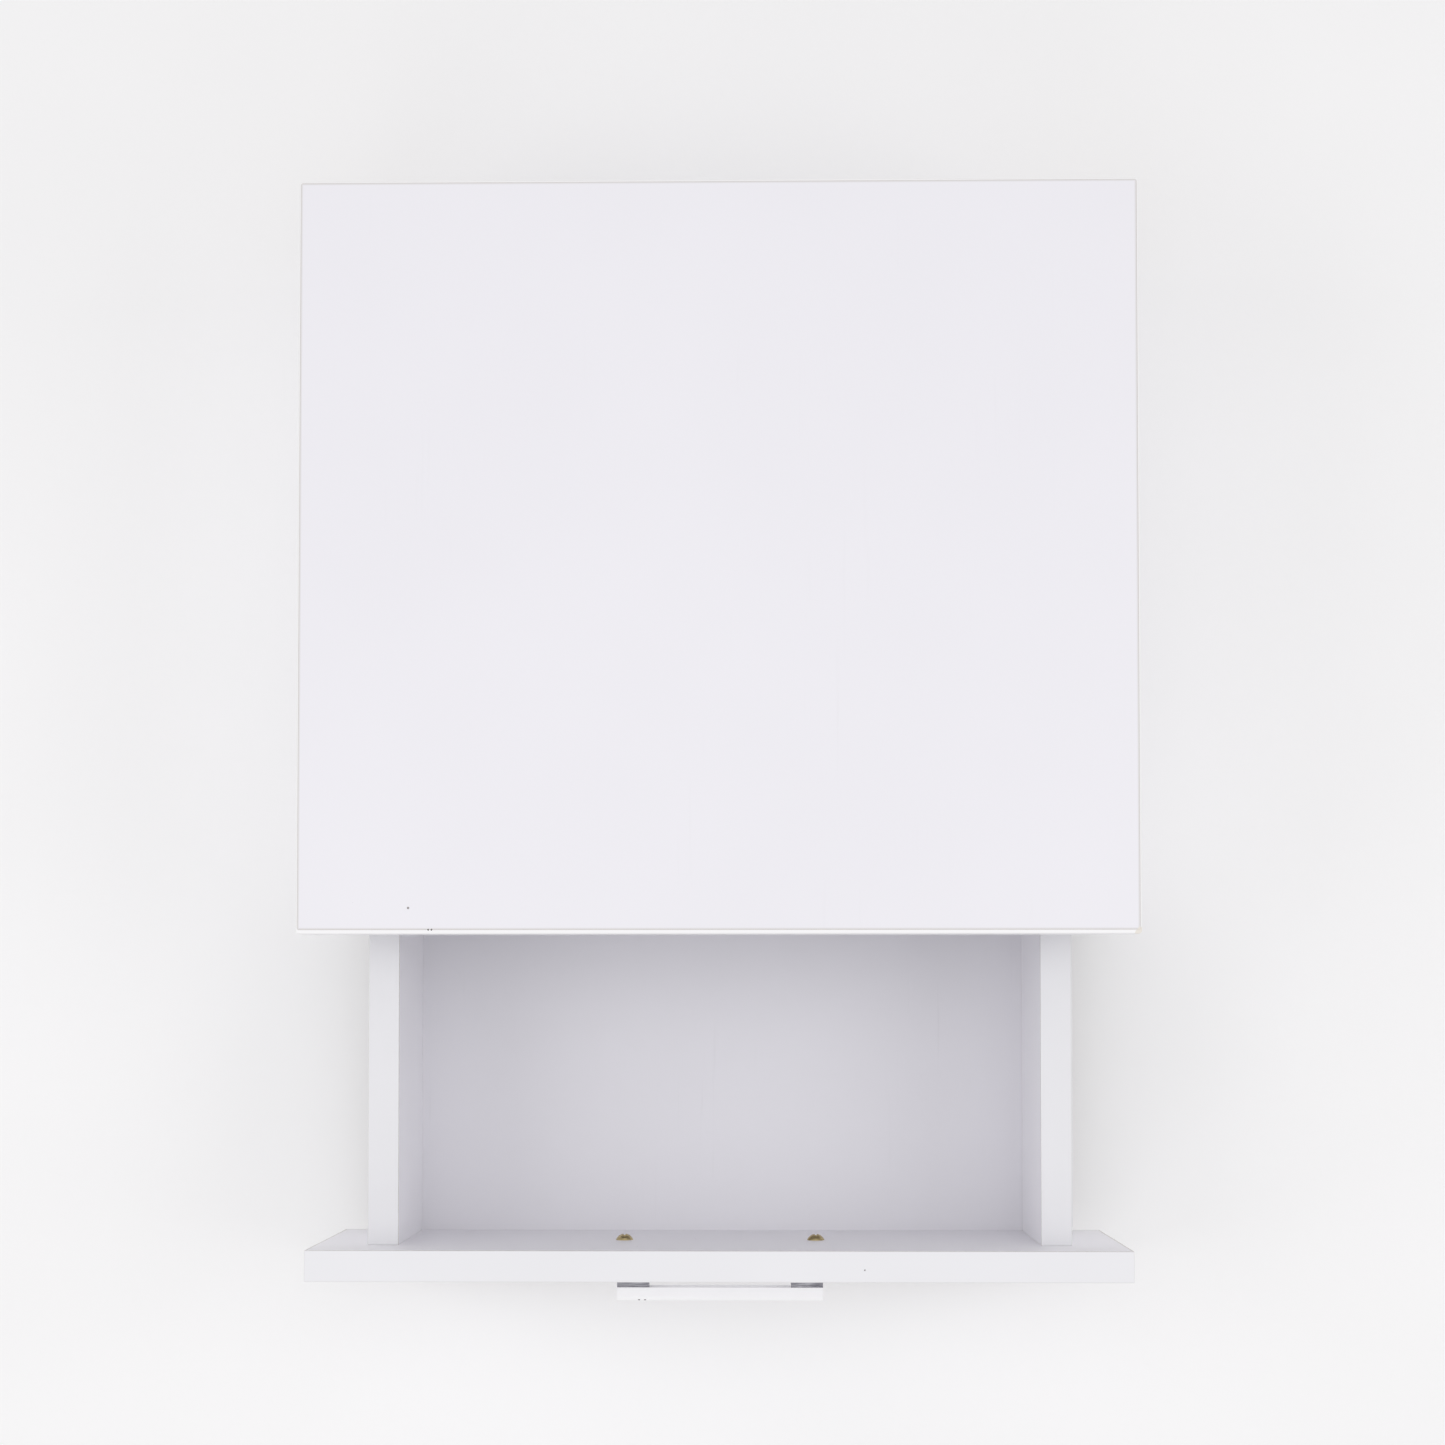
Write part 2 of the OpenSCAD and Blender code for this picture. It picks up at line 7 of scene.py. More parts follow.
# %% Load the solids
import bpy
import json
import math
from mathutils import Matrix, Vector


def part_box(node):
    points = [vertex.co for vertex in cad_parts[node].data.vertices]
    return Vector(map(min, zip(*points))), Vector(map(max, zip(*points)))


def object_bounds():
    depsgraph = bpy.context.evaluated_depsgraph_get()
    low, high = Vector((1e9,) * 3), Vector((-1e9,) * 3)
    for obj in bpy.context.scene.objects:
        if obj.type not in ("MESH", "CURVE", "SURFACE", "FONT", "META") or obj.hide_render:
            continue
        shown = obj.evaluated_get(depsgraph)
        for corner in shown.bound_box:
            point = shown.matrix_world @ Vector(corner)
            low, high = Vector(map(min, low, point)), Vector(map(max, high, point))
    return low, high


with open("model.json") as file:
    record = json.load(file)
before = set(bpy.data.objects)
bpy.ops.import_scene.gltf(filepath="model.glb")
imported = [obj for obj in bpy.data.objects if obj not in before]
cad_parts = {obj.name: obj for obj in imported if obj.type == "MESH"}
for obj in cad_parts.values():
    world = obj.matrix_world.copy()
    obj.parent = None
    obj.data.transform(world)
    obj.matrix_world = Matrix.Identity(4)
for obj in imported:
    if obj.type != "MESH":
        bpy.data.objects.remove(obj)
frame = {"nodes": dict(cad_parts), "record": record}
for leftover in ("Cube", "Camera", "Light"):
    if leftover in bpy.data.objects:
        bpy.data.objects.remove(bpy.data.objects[leftover])
solids = frame["nodes"]
cad_low, cad_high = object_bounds()
print(len(solids), "solids between", tuple(cad_low), "and", tuple(cad_high))

# %% [markdown]
# ## The camera
# The cabinet is seen from almost straight above, a little in front of the edge of its top. The camera
# could be aimed with a Track To constraint, but two small fixed turns say the same in fewer parts. The
# lens is a little longer than normal, so the boards' edges stay nearly parallel, and a vertical shift
# brings the drawer into the frame without tilting the view.

# %% Place the camera
MM = 0.001
CAMERA_ABOVE_TOP = 1.1041
CAMERA_FROM_WALL = 0.4005
CAMERA_TO_RIGHT = 0.0189
LENS = 58.3
SHIFT_UP = 0.155
TILT = math.radians(1.79)
TURN = math.radians(0.86)

camera_data = bpy.data.cameras.new("camera")
camera_data.sensor_width = 36
camera_data.lens = LENS
camera_data.shift_y = SHIFT_UP
camera_data.clip_end = 50
camera = bpy.data.objects.new("camera", camera_data)
camera.location = (CAMERA_TO_RIGHT, cad_high.y - CAMERA_FROM_WALL, cad_high.z + CAMERA_ABOVE_TOP)
camera.rotation_euler = (TILT, TURN, 0)
bpy.context.scene.collection.objects.link(camera)
bpy.context.scene.camera = camera
print("camera at", tuple(camera.location))

# %% [markdown]
# ## Light and colour
# White boards on a pale floor are easy to burn out. Most of the light comes from an even, bright world.
# Four large, weak lamps add a faint direction. The two at the sides reach the inner walls of the
# drawer, which the world alone would leave grey, because the opposite wall hides half of it from them.
# The Standard view keeps whites as white as they are set, where a film-like view would turn them grey.

# %% Light the studio
bpy.context.scene.view_settings.view_transform = "Standard"

WORLD_STRENGTH = 0.7
WORLD_COLOR = (1.0, 0.99, 1.0, 1)
LAMP_WIDTH = 1.4
LAMPS = {  # offset from the cabinet's middle in metres, and power in watts
    "key_softbox": ((0.1, 0.2, 2.1), 2.5),
    "front_softbox": ((-0.6, -2.0, 1.4), 3.5),
    "left_softbox": ((-1.6, -0.2, 1.3), 6.7),
    "right_softbox": ((1.6, -0.2, 1.3), 6.7),
}

world = bpy.data.worlds.new("studio")
world.use_nodes = True
ambient = world.node_tree.nodes["Background"]
ambient.inputs["Color"].default_value = WORLD_COLOR
ambient.inputs["Strength"].default_value = WORLD_STRENGTH
bpy.context.scene.world = world


def softbox(name, place, aim, watts):
    data = bpy.data.lights.new(name, "AREA")
    data.shape = "DISK"
    data.size = LAMP_WIDTH
    data.energy = watts
    lamp = bpy.data.objects.new(name, data)
    lamp.location = place
    lamp.rotation_euler = (Vector(aim) - Vector(place)).to_track_quat("-Z", "Y").to_euler()
    lamp.visible_camera = False
    bpy.context.scene.collection.objects.link(lamp)


middle = (cad_low + cad_high) / 2
for name, (offset, watts) in LAMPS.items():
    softbox(name, middle + Vector(offset), middle, watts)
print("lamps", list(LAMPS))

# %% [markdown]
# ## Softened edges
# A real board or bent sheet has no knife edge: a trimmer or a press leaves a small radius that catches
# the light. The loaded meshes come with every face cut loose, so a Weld modifier joins their points
# first, and a planar Decimate turns the slivers of each flat face back into one face. Bevel then rounds
# only the sharp edges, and Weighted Normal keeps the wide faces flat. Modifiers do this without touching
# the measured mesh itself.

# %% Round the edges of every solid
EDGE_RADIUS = {
    "melamine_board": 0.2 * MM,
    "edge_band": 0.3 * MM,
    "drawer_bottom_board": 0.2 * MM,
    "runner_enamel": 0.2 * MM,
    "runner_roller": 0.4 * MM,
    "handle_white": 0.5 * MM,
    "handle_foot_chrome": 0.35 * MM,
    "bumper": 0.2 * MM,
    "beech_dowel": 0.4 * MM,
}
FASTENER_EDGE = 0.12 * MM
JOIN_WITHIN = 0.01 * MM
FLAT_WITHIN = math.radians(1)
SHARP_OVER = math.radians(35)
slot_of = {part["node"]: part["material_slot"] for part in frame["record"]["subparts"]}


def soften(solid, radius):
    weld = solid.modifiers.new("join_points", "WELD")
    weld.merge_threshold = JOIN_WITHIN
    flat = solid.modifiers.new("join_flat_faces", "DECIMATE")
    flat.decimate_type = "DISSOLVE"
    flat.angle_limit = FLAT_WITHIN
    bevel = solid.modifiers.new("edge_radius", "BEVEL")
    bevel.width = radius
    bevel.segments = 2
    bevel.limit_method = "ANGLE"
    bevel.angle_limit = SHARP_OVER
    bevel.use_clamp_overlap = True
    normals = solid.modifiers.new("flat_faces", "WEIGHTED_NORMAL")
    normals.keep_sharp = False


for name, solid in solids.items():
    solid.data.shade_smooth()
    soften(solid, EDGE_RADIUS.get(slot_of[name], FASTENER_EDGE))
print("softened", len(solids), "solids")

# %% [markdown]
# ## Building blocks for finishes
# Every finish below is a small network of nodes. Wiring them one by one fills pages, so one helper
# places a node, sets it and connects it. Values that change over a surface come from an object's own
# coordinates in metres, so a pattern keeps its real size and travels with the piece.

# %% Helpers that place shader nodes
def put(tree, kind, inputs=None, **settings):
    made = tree.nodes.new("ShaderNode" + kind)
    for name, value in settings.items():
        setattr(made, name, value)
    for name, value in (inputs or {}).items():
        socket = made.inputs[name]
        if isinstance(value, bpy.types.NodeSocket):
            tree.links.new(value, socket)
        else:
            socket.default_value = value
    return made


def number(tree, operation, first, second=0.0):
    return put(tree, "Math", {0: first, 1: second}, operation=operation).outputs[0]


def vector(tree, operation, first, second=(0, 0, 0), output="Vector"):
    return put(tree, "VectorMath", {0: first, 1: second}, operation=operation).outputs[output]


def remap(tree, value, low, high, to_low, to_high):
    names = {"Value": value, "From Min": low, "From Max": high, "To Min": to_low, "To Max": to_high}
    return put(tree, "MapRange", names).outputs["Result"]


def blend(tree, share, first, second):
    mix = put(tree, "Mix", data_type="RGBA")
    sockets = [s for s in mix.inputs if s.enabled]
    for socket, value in zip(sockets, (share, first, second)):
        if isinstance(value, bpy.types.NodeSocket):
            tree.links.new(value, socket)
        else:
            socket.default_value = value
    return next(s for s in mix.outputs if s.enabled)


def linear(red, green, blue):
    """A screen colour of 0 to 255 a channel, as the linear colour that shaders use."""
    parts = [c / 255 for c in (red, green, blue)]
    return tuple(c / 12.92 if c < 0.04045 else ((c + 0.055) / 1.055) ** 2.4 for c in parts) + (1,)


print("white board is", linear(240, 240, 243))

# %% [markdown]
# ### An effect as a node group
# An effect that several finishes share becomes a node group with named inputs and outputs. It is built
# once, and each finish feeds it its own values. This helper makes the empty group and its sockets.

# %% Helper that opens a node group
FLOAT, VECTOR, COLOR = "NodeSocketFloat", "NodeSocketVector", "NodeSocketColor"


def effect(name, inputs, outputs):
    group = bpy.data.node_groups.new(name, "ShaderNodeTree")
    for label, kind in inputs:
        group.interface.new_socket(label, in_out="INPUT", socket_type=kind)
    for label, kind in outputs:
        group.interface.new_socket(label, in_out="OUTPUT", socket_type=kind)
    given = group.nodes.new("NodeGroupInput").outputs
    result = group.nodes.new("NodeGroupOutput").inputs
    return group, given, result


def use(tree, group, **values):
    """Places a group. Spaces in socket names are written as underscores."""
    inputs = {label.replace("_", " "): value for label, value in values.items()}
    return put(tree, "Group", inputs, node_tree=group).outputs


print("sockets", FLOAT, VECTOR, COLOR)

# %% [markdown]
# ### Slow change of tone
# No sheet of foil or coat of paint is one colour. A broad noise that lowers the colour by a percent or
# two is enough to stop a wide face from looking computed, and it also drives the gloss a little.

# %% Group: slow change of tone
soft_tone, given, result = effect(
    "soft_tone",
    [("Position", VECTOR), ("Color", COLOR), ("Per Metre", FLOAT), ("Spread", FLOAT)],
    [("Color", COLOR), ("Level", FLOAT)])
cloud = put(soft_tone, "TexNoise", {"Vector": given["Position"], "Scale": given["Per Metre"], "Detail": 3})
level = remap(soft_tone, cloud.outputs[0], 0.3, 0.7, 0, 1)
darker = number(soft_tone, "MULTIPLY", level, given["Spread"])
factor = number(soft_tone, "SUBTRACT", 1, darker)
shaded = put(soft_tone, "VectorMath", {0: given["Color"], "Scale": factor}, operation="SCALE")
soft_tone.links.new(shaded.outputs[0], result["Color"])
soft_tone.links.new(level, result["Level"])
print("made", soft_tone.name)

# %% [markdown]
# ### Specks
# Tiny dark flecks sit in the foil and dust sits on it. A Voronoi texture splits space into cells, each
# with a random colour. Keeping only the cells whose random value is low leaves a few scattered dots.

# %% Group: scattered specks
specks, given, result = effect(
    "specks",
    [("Position", VECTOR), ("Per Metre", FLOAT), ("Share", FLOAT), ("Radius", FLOAT)],
    [("Mask", FLOAT)])
cells = put(specks, "TexVoronoi", {"Vector": given["Position"], "Scale": given["Per Metre"]})
chance = put(specks, "SeparateColor", {"Color": cells.outputs["Color"]})
chosen = number(specks, "LESS_THAN", chance.outputs[0], given["Share"])
reach = number(specks, "MULTIPLY", given["Radius"], chance.outputs[1])
inside = number(specks, "LESS_THAN", cells.outputs["Distance"], reach)
specks.links.new(number(specks, "MULTIPLY", chosen, inside), result["Mask"])
print("made", specks.name)

# %% [markdown]
# ### Scuffs
# Handling leaves faint, thin marks that run mostly one way. A noise stretched fifty times along one
# direction gives lines, and a second, broad noise keeps them to patches.

# %% Group: faint scuffs
scuffs, given, result = effect(
    "scuffs", [("Position", VECTOR), ("Along", VECTOR), ("Amount", FLOAT)], [("Mask", FLOAT)])
stretched = vector(scuffs, "MULTIPLY", given["Position"], given["Along"])
line = put(scuffs, "TexNoise", {"Vector": stretched, "Scale": 1, "Detail": 4, "Roughness": 0.6})
thin = remap(scuffs, line.outputs[0], 0.62, 0.74, 0, 1)
patch = put(scuffs, "TexNoise", {"Vector": given["Position"], "Scale": 11, "Detail": 2})
where = remap(scuffs, patch.outputs[0], 0.5, 0.68, 0, 1)
both = number(scuffs, "MULTIPLY", thin, where)
scuffs.links.new(number(scuffs, "MULTIPLY", both, given["Amount"]), result["Mask"])
print("made", scuffs.name)

# %% [markdown]
# ### Wear along a box's edges
# Dirt and rubbing gather along the outer edges of a board. The distance to the two nearest faces of
# its box tells how near a point is to an edge, which works on any board without painting a map.

# %% Group: closeness to a box's edges
box_edge, given, result = effect(
    "box_edge",
    [("Position", VECTOR), ("Low", VECTOR), ("High", VECTOR), ("Width", FLOAT)],
    [("Mask", FLOAT)])
from_low = vector(box_edge, "SUBTRACT", given["Position"], given["Low"])
from_high = vector(box_edge, "SUBTRACT", given["High"], given["Position"])
nearest = vector(box_edge, "MINIMUM", from_low, from_high)
axes = put(box_edge, "SeparateXYZ", {"Vector": nearest}).outputs
near = []
for axis in axes:
    steps = number(box_edge, "DIVIDE", axis, given["Width"])
    near.append(remap(box_edge, steps, 0, 1, 1, 0))
pairs = [number(box_edge, "MULTIPLY", near[i], near[j]) for i, j in ((0, 1), (1, 2), (0, 2))]
most = number(box_edge, "MAXIMUM", number(box_edge, "MAXIMUM", pairs[0], pairs[1]), pairs[2])
box_edge.links.new(most, result["Mask"])
print("made", box_edge.name)

# %% [markdown]
# ### A chipped spot
# A knocked corner and a nick in a coat are the same thing at two sizes: a ragged patch round one point
# where what lies below shows. Noise added to the distance from that point breaks up its outline.

# %% Group: ragged spot round a point
chip_spot, given, result = effect(
    "chip_spot",
    [("Position", VECTOR), ("Centre", VECTOR), ("Radius", FLOAT)],
    [("Mask", FLOAT)])
away = vector(chip_spot, "DISTANCE", given["Position"], given["Centre"], "Value")
grit = put(chip_spot, "TexNoise", {"Vector": given["Position"], "Scale": 1300, "Detail": 2}).outputs[0]
ragged = number(chip_spot, "MULTIPLY", number(chip_spot, "ADD", grit, 0.5), away)
chip_spot.links.new(number(chip_spot, "LESS_THAN", ragged, given["Radius"]), result["Mask"])
print("made", chip_spot.name)

# %% [markdown]
# ### The particle core
# The white face of a melamine board is only a thin foil on pressed wood chips. The chips show on an
# edge without banding and inside a drilled hole. Both are found from the board's thickness direction:
# a wall that doesn't face that way, or a point deeper than the foil, is core.

# %% Group: pressed wood chips
FOIL_DEPTH = 0.6 * MM
core, given, result = effect(
    "particle_core",
    [("Position", VECTOR), ("Normal", VECTOR), ("Thickness Axis", VECTOR), ("Middle", FLOAT),
     ("Half", FLOAT)],
    [("Mask", FLOAT), ("Color", COLOR), ("Height", FLOAT)])
facing = vector(core, "DOT_PRODUCT", given["Normal"], given["Thickness Axis"], "Value")
wall = remap(core, number(core, "ABSOLUTE", facing), 0.45, 0.55, 1, 0)
along = vector(core, "DOT_PRODUCT", given["Position"], given["Thickness Axis"], "Value")
from_middle = number(core, "ABSOLUTE", number(core, "SUBTRACT", along, given["Middle"]))
depth = number(core, "SUBTRACT", given["Half"], from_middle)
deep = number(core, "GREATER_THAN", depth, FOIL_DEPTH)
core.links.new(number(core, "MAXIMUM", wall, deep), result["Mask"])
chips = put(core, "TexVoronoi", {"Vector": given["Position"], "Scale": 620, "Randomness": 1})
chip_tone = put(core, "SeparateColor", {"Color": chips.outputs["Color"]}).outputs[0]
wood = blend(core, chip_tone, linear(168, 138, 102), linear(214, 188, 150))
gaps = put(core, "TexNoise", {"Vector": given["Position"], "Scale": 900, "Detail": 3})
pit = remap(core, gaps.outputs[0], 0.56, 0.66, 0, 0.55)
core.links.new(blend(core, pit, wood, linear(96, 72, 50)), result["Color"])
core.links.new(number(core, "SUBTRACT", chips.outputs["Distance"], pit), result["Height"])
print("made", core.name)

# %% [markdown]
# ## A finish and its shader
# Each material starts the same way: an empty tree, its own coordinates, one Principled shader and one
# bump. Constants go straight onto the shader's sockets, and only what varies is wired to them.

# %% Helpers that start and dress a material
class Finish:
    """A material under construction: its tree, shader and object coordinates."""

    def __init__(self, name, roughness, **constants):
        self.material = bpy.data.materials.new(name)
        self.material.use_nodes = True
        self.tree = self.material.node_tree
        self.shader = self.tree.nodes["Principled BSDF"]
        self.shader.inputs["Roughness"].default_value = roughness
        for label, value in constants.items():
            self.shader.inputs[label.replace("_", " ")].default_value = value
        coordinates = put(self.tree, "TexCoord").outputs
        self.position = coordinates["Object"]
        self.normal = coordinates["Normal"]

    def color(self, socket):
        self.tree.links.new(socket, self.shader.inputs["Base Color"])

    def roughness(self, socket):
        self.tree.links.new(socket, self.shader.inputs["Roughness"])

    def relief(self, height, depth, strength=1.0):
        """Bump from a height of 0 to 1 that stands for depth metres."""
        inputs = {"Height": height, "Distance": depth, "Strength": strength}
        bump = put(self.tree, "Bump", inputs)
        self.tree.links.new(bump.outputs["Normal"], self.shader.inputs["Normal"])

    def noise(self, per_metre, detail=2.0, position=None):
        inputs = {"Vector": position or self.position, "Scale": per_metre, "Detail": detail}
        return put(self.tree, "TexNoise", inputs).outputs[0]


dressed = []


def dress(node, finish):
    """Gives a solid its finish in place of the plain one it was loaded with."""
    solids[node].data.materials[0] = finish.material
    dressed.append(node)


print("ready to dress", len(solids), "solids")

# %% [markdown]
# ## White melamine boards
# The boards are chipboard under a white melamine foil with a fine pearl texture. The foil is slightly
# lavender, carries a few dark flecks and faint scuffs, and turns a touch greyer along worn edges. Round
# the top the foil meets the edge strip in a fine grey line, so its edges get a stronger grey. The
# drawer's boards get a brighter foil, which is painted light that lifts the shade inside the drawer.

# %% Colours of the foil
FOIL = linear(243, 242, 247)
# The drawer's foil is painted brighter than the cabinet's: painted light against the shade inside the
# drawer.
DRAWER_FOIL_PAINTED_LIGHTER = linear(248, 247, 251)
FLECK = linear(120, 112, 106)
SCUFF_GREY = linear(196, 194, 196)
WORN_GREY = linear(205, 202, 196)
PLAIN_EDGE_GREY = 0.2
EDGE_GREY = {"top_panel": 0.7}
print("foil", FOIL)

# %% [markdown]
# ### Knocks and pits
# The top's front right corner has been knocked, so that beige board shows, and a few dark pits stand at
# fixed places. They could be painted on a map, but a short list of places and sizes says the same and
# moves with the boxes of the pieces. The edge strips use the same list, so that a knock crosses a joint.

# %% List the knocks
top_low, top_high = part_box("top_edge_band")
front_joint_y = top_low.y + 2 * MM
drawer_top_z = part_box("drawer_front_edge_bands")[1].z
drawer_face_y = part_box("drawer_front")[0].y
TOP = ("top_panel", "top_edge_band")
BARE_BOARD = linear(237, 232, 224)
PIT = linear(96, 90, 86)
KNOCKS = (  # on which pieces, where, how wide and what shows there
    (TOP, (top_high.x, top_low.y, top_high.z), 3.2 * MM, BARE_BOARD),
    (TOP, (-137 * MM, front_joint_y, top_high.z), 0.4 * MM, PIT),
    (TOP, (-135.4 * MM, front_joint_y, top_high.z), 0.4 * MM, PIT),
    (("drawer_front_edge_bands",), (70 * MM, drawer_face_y + 6 * MM, drawer_top_z), 0.35 * MM, PIT),
)


def knocked(finish, node, tone):
    """Adds the knocks that fall on a piece. Gives back the colour and where they are."""
    struck = 0.0
    for pieces, centre, radius, below in KNOCKS:
        if node in pieces:
            hit = use(finish.tree, chip_spot, Position=finish.position, Centre=centre,
                      Radius=radius)["Mask"]
            tone = blend(finish.tree, hit, tone, below)
            struck = number(finish.tree, "MAXIMUM", hit, struck)
    return tone, struck


print("knocks", len(KNOCKS))

# %% [markdown]
# ### The board itself
# Foil, flecks, scuffs, worn edges and knocks are laid over each other in the order in which they came.
# Every board gets its own copy of the finish, because its box and its thickness direction differ.

# %% Melamine on every board
THICKNESS_AXES = [Vector((1, 0, 0)), Vector((0, 1, 0)), Vector((0, 0, 1))]


def melamine(node, foil):
    low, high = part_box(node)
    size = high - low
    thin = min(range(3), key=lambda i: size[i])
    finish = Finish("melamine_" + node, 0.42, Specular_IOR_Level=0.4)
    tree = finish.tree
    tone = use(tree, soft_tone, Position=finish.position, Color=foil, Per_Metre=9, Spread=0.014)
    dots = use(tree, specks, Position=finish.position, Per_Metre=75, Share=0.09, Radius=0.055)["Mask"]
    marks = use(tree, scuffs, Position=finish.position, Along=(420, 9, 420), Amount=0.05)["Mask"]
    worn = use(tree, box_edge, Position=finish.position, Low=low, High=high, Width=1.1 * MM)["Mask"]
    speckled = blend(tree, number(tree, "MULTIPLY", dots, 0.8), tone["Color"], FLECK)
    scuffed = blend(tree, marks, speckled, SCUFF_GREY)
    edge_grey = EDGE_GREY.get(node, PLAIN_EDGE_GREY)
    edged = blend(tree, number(tree, "MULTIPLY", worn, edge_grey), scuffed, WORN_GREY)
    chips = use(tree, core, Position=finish.position, Normal=finish.normal,
                Thickness_Axis=THICKNESS_AXES[thin], Middle=(low[thin] + high[thin]) / 2,
                Half=size[thin] / 2)
    foil_side = blend(tree, chips["Mask"], edged, chips["Color"])
    tone_here, struck = knocked(finish, node, foil_side)
    finish.color(tone_here)
    gloss = remap(tree, tone["Level"], 0, 1, 0.38, 0.46)
    finish.roughness(number(tree, "MAXIMUM", gloss, number(tree, "MULTIPLY", chips["Mask"], 0.9)))
    pearl = finish.noise(1400, 1)
    rough_core = number(tree, "MULTIPLY", chips["Height"], chips["Mask"])
    height = number(tree, "ADD", number(tree, "MULTIPLY", pearl, 0.12), rough_core)
    pitted = number(tree, "MULTIPLY", struck, 0.3)
    finish.relief(number(tree, "SUBTRACT", height, pitted), 0.25 * MM, 0.5)
    dress(node, finish)


for node in solids:
    if slot_of[node] == "melamine_board":
        # Drawer boards take the brighter foil, which is painted light for the shaded inside of the drawer.
        melamine(node, DRAWER_FOIL_PAINTED_LIGHTER if node.startswith("drawer_") else FOIL)
print("melamine boards:", len(dressed))

# %% [markdown]
# ## Plastic edge bands
# A thin strip of white plastic is glued over each board edge and trimmed flush. Its wide face is a
# little brighter than the foil. On the drawer's front and box the wide face is painted darker instead,
# which is painted shade, since these edges sit lower than the top. Its cut edge, less than a millimetre
# across, shows as a warm grey line beside the board, which is how a banded edge is told from a folded
# one. On the top the strip is trimmed cleaner and stays white.

# %% Edge bands
BAND_FACE = linear(247, 247, 248)
BAND_CUT = linear(216, 213, 206)
TOP_CUT = linear(251, 251, 252)
# The two darker band faces of the drawer are painted shade for edges that sit lower than the top.
FRONT_BAND_PAINTED_SHADE = linear(240, 240, 243)
BOX_BAND_PAINTED_SHADE = linear(237, 237, 240)


def edge_band(node, cut_axis, face=BAND_FACE, cut_tone=BAND_CUT):
    low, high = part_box(node)
    finish = Finish("band_" + node, 0.34)
    tree = finish.tree
    tone = use(tree, soft_tone, Position=finish.position, Color=face, Per_Metre=14, Spread=0.02)
    facing = vector(tree, "DOT_PRODUCT", finish.normal, cut_axis, "Value")
    cut = remap(tree, number(tree, "ABSOLUTE", facing), 0.75, 0.95, 0, 1)
    dots = use(tree, specks, Position=finish.position, Per_Metre=60, Share=0.03, Radius=0.05)["Mask"]
    worn = use(tree, box_edge, Position=finish.position, Low=low, High=high, Width=0.7 * MM)["Mask"]
    trimmed = blend(tree, cut, tone["Color"], cut_tone)
    rubbed = blend(tree, number(tree, "MULTIPLY", worn, 0.25), trimmed, linear(200, 198, 194))
    flecked = blend(tree, number(tree, "MULTIPLY", dots, 0.7), rubbed, FLECK)
    finish.color(knocked(finish, node, flecked)[0])
    finish.roughness(remap(tree, cut, 0, 1, 0.34, 0.55))
    streaks = finish.noise(1, 3, vector(tree, "MULTIPLY", finish.position, (60, 900, 900)))
    finish.relief(streaks, 0.02 * MM, 0.5)
    dress(node, finish)


edge_band("top_edge_band", (0, 0, 1), cut_tone=TOP_CUT)
edge_band("bottom_edge_band", (0, 0, 1))
edge_band("side_edge_bands", (1, 0, 0))
# The drawer's front and box bands get the darker faces: painted shade.
edge_band("drawer_front_edge_bands", (0, 1, 0), FRONT_BAND_PAINTED_SHADE)
edge_band("drawer_box_edge_bands", (1, 0, 0), BOX_BAND_PAINTED_SHADE)
print("finished so far:", len(dressed))

# %% [markdown]
# ## The drawer bottom
# Thin hardboard carries a white lacquer on the side that is seen from inside and is bare brown below.
# The normal tells which side a point is on. Bare hardboard has a fine woven press mark underneath.

# %% Drawer bottom
LACQUER = linear(240, 239, 244)
PRESS_MARKS_PER_METRE = 2600


def drawer_bottom_board():
    finish = Finish("lacquered_hardboard", 0.4)
    tree = finish.tree
    tone = use(tree, soft_tone, Position=finish.position, Color=LACQUER, Per_Metre=7, Spread=0.03)
    marks = use(tree, scuffs, Position=finish.position, Along=(300, 8, 300), Amount=0.2)["Mask"]
    lacquer = blend(tree, marks, tone["Color"], SCUFF_GREY)
    fibres = finish.noise(1, 4, vector(tree, "MULTIPLY", finish.position, (700, 200, 700)))
    brown = blend(tree, fibres, linear(120, 84, 54), linear(166, 124, 84))
    up = put(tree, "SeparateXYZ", {"Vector": finish.normal}).outputs["Z"]
    bare = remap(tree, up, 0.6, 0.8, 1, 0)
    finish.color(blend(tree, bare, lacquer, brown))
    finish.roughness(remap(tree, bare, 0, 1, 0.36, 0.8))
    checker = put(tree, "VectorMath", {0: finish.position, "Scale": PRESS_MARKS_PER_METRE},
                  operation="SCALE")
    woven = vector(tree, "SINE", checker.outputs["Vector"])
    parts = put(tree, "SeparateXYZ", {"Vector": woven}).outputs
    mesh_mark = number(tree, "MULTIPLY", number(tree, "MULTIPLY", parts["X"], parts["Y"]), bare)
    height = number(tree, "ADD", number(tree, "MULTIPLY", finish.noise(900), 0.1), mesh_mark)
    finish.relief(height, 0.12 * MM, 0.5)
    dress("drawer_bottom", finish)


drawer_bottom_board()
print("finished so far:", len(dressed))

# %% [markdown]
# ## Plated metal
# Screws, cams and hanger plates are zinc plated: bright, a little cloudy, with a faint blue or yellow
# tint that drifts. The handle's screws are yellow-zinc and its feet are chrome. Their dim grey tone and
# strong dark and light stripes are painted reflections, laid on as polishing streaks.
# One function covers them all, since only colours, gloss and streak direction change.

# %% Plated metal finishes
def plated(name, light_tone, dark_tone, roughness, stretch, streak_share):
    finish = Finish(name, roughness, Metallic=1.0)
    tree = finish.tree
    clouds = finish.noise(160, 3)
    streaks = finish.noise(1, 4, vector(tree, "MULTIPLY", finish.position, stretch))
    mixed = number(tree, "ADD", number(tree, "MULTIPLY", streaks, streak_share),
                   number(tree, "MULTIPLY", clouds, 1 - streak_share))
    finish.color(blend(tree, remap(tree, mixed, 0.34, 0.66, 0, 1), dark_tone, light_tone))
    finish.roughness(remap(tree, mixed, 0.3, 0.7, roughness + 0.12, roughness - 0.06))
    finish.relief(streaks, 0.02 * MM, 0.6)
    return finish


def dress_slot(slot, finish):
    for node in solids:
        if slot_of[node] == slot:
            dress(node, finish)


